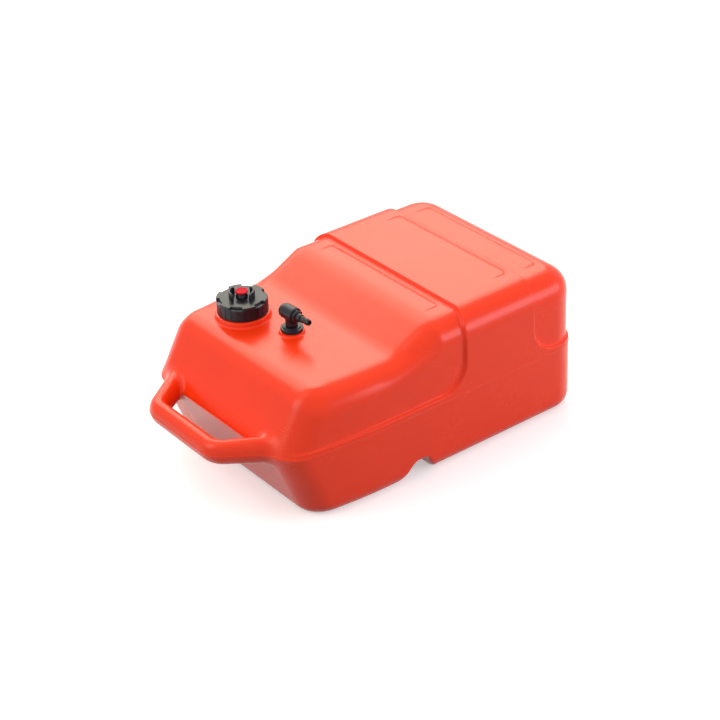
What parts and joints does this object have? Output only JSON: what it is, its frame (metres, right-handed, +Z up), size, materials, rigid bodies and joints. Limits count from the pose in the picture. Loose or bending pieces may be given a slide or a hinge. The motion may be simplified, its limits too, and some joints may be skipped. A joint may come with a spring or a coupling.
{
  "type": "outboard fuel tank",
  "caption": "Portable red outboard motor fuel tank with a front carry handle, a guarded vent screw in its filler cap, and a swivelling outlet elbow with a hose barb.",
  "frame": {"origin": "on the resting plane, under the middle of the overall length and width, carry handle included", "axes": "+X from the carry handle towards the rear wall, +Y towards the side that the filler cap stands on, +Z up"},
  "size_m": [0.5734, 0.35, 0.2258],
  "materials": {
    "tank_red": "smooth satin-gloss moulded polyethylene",
    "fitting_black": "semi-gloss injection-moulded plastic",
    "knob_red": "gloss injection-moulded plastic",
    "liner_natural": "uncoloured moulded plastic",
    "seal_rubber": "matt fuel-resistant rubber",
    "clip_steel": "bright spring steel",
    "screen_steel": "fine woven wire mesh"
  },
  "bodies": {
    "tank": {"tank_shell": "tank_red", "outlet_gasket": "seal_rubber", "outlet_base": "fitting_black", "pickup_tube": "liner_natural", "strainer_cage": "fitting_black", "strainer_screen": "screen_steel"},
    "cap_carrier": {"cap_liner": "liner_natural", "cap_gasket": "seal_rubber"},
    "cap": {"cap_shell": "fitting_black"},
    "vent_carrier": {"vent_seal": "seal_rubber"},
    "vent": {"vent_screw": "fitting_black", "vent_knob": "knob_red", "vent_clip": "clip_steel"},
    "elbow": {"elbow": "fitting_black", "elbow_rings": "seal_rubber", "barb_seal": "seal_rubber", "hose_barb": "fitting_black"}
  },
  "joints": [
    {"name": "cap_rise", "type": "slide", "parent": "tank", "child": "cap_carrier", "axis": [0, 0, 1], "range_m": [0, 0.0113]},
    {"name": "cap_turn", "type": "hinge", "parent": "cap_carrier", "child": "cap", "pos_m": [-0.11325, 0.083, 0.2], "axis": [0, 0, 1], "range_deg": [0, 810]},
    {"name": "vent_rise", "type": "slide", "parent": "cap", "child": "vent_carrier", "axis": [0, 0, 1], "range_m": [0, 0.00226]},
    {"name": "vent_turn", "type": "hinge", "parent": "vent_carrier", "child": "vent", "pos_m": [-0.11325, 0.083, 0.21], "axis": [0, 0, 1], "range_deg": [0, 540]},
    {"name": "elbow_swivel", "type": "hinge", "parent": "tank", "child": "elbow", "pos_m": [-0.09025, 0, 0.19], "axis": [0, 0, 1], "continuous": true}
  ],
  "couplings": [
    {"joint": "cap_rise", "follows": "cap_turn", "m_per_rad": 0.00079577},
    {"joint": "vent_rise", "follows": "vent_turn", "m_per_rad": 0.00023873}
  ]
}
